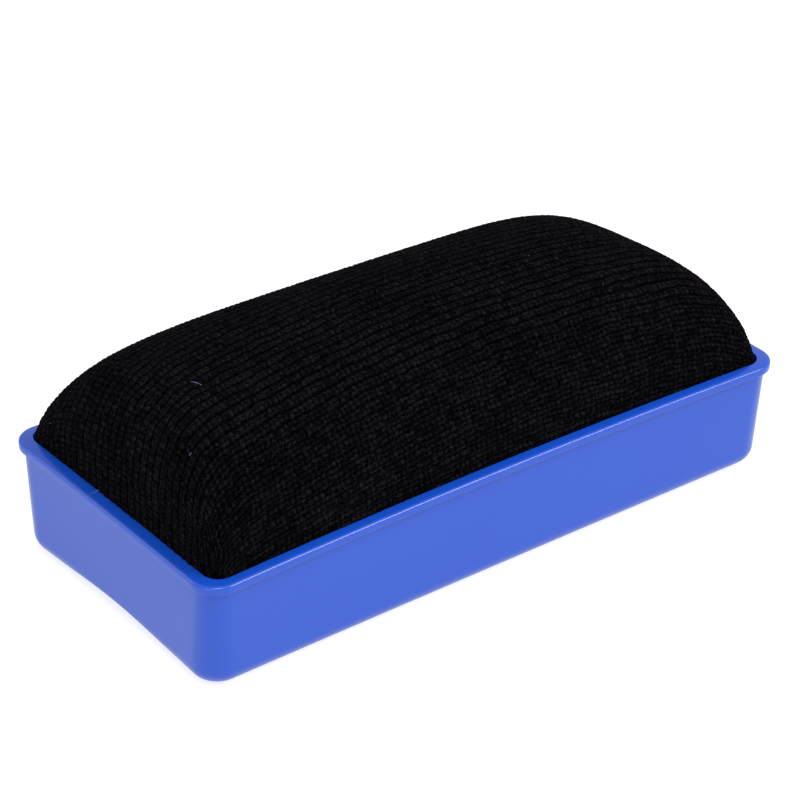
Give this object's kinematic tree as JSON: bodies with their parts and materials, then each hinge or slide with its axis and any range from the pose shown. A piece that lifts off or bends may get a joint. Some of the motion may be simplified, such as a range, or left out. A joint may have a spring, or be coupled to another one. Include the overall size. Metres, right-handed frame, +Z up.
{
  "type": "chalkboard eraser",
  "caption": "Chalkboard eraser: moulded plastic tray with an outward lip and hollowed grip, holding a domed pad covered in ribbed black plush.",
  "frame": {"origin": "centre of the base, on the plane that the tray's two foot strips rest on", "axes": "+X along the length, +Y across the width, +Z up through the pad, away from the grip"},
  "size_m": [0.14, 0.068, 0.0476],
  "materials": {
    "blue_plastic": "satin moulded polypropylene",
    "black_plush": "fine ribbed plush",
    "foam": "open-cell foam",
    "hardboard": "pressed fibreboard",
    "staple_wire": "galvanised wire",
    "hot_melt": "set hot-melt glue"
  },
  "bodies": {
    "root": {"tray": "blue_plastic", "pad_cover": "black_plush", "foam_core": "foam", "backing_board": "hardboard", "hem_staples": "staple_wire", "glue_beads": "hot_melt"}
  },
  "joints": []
}
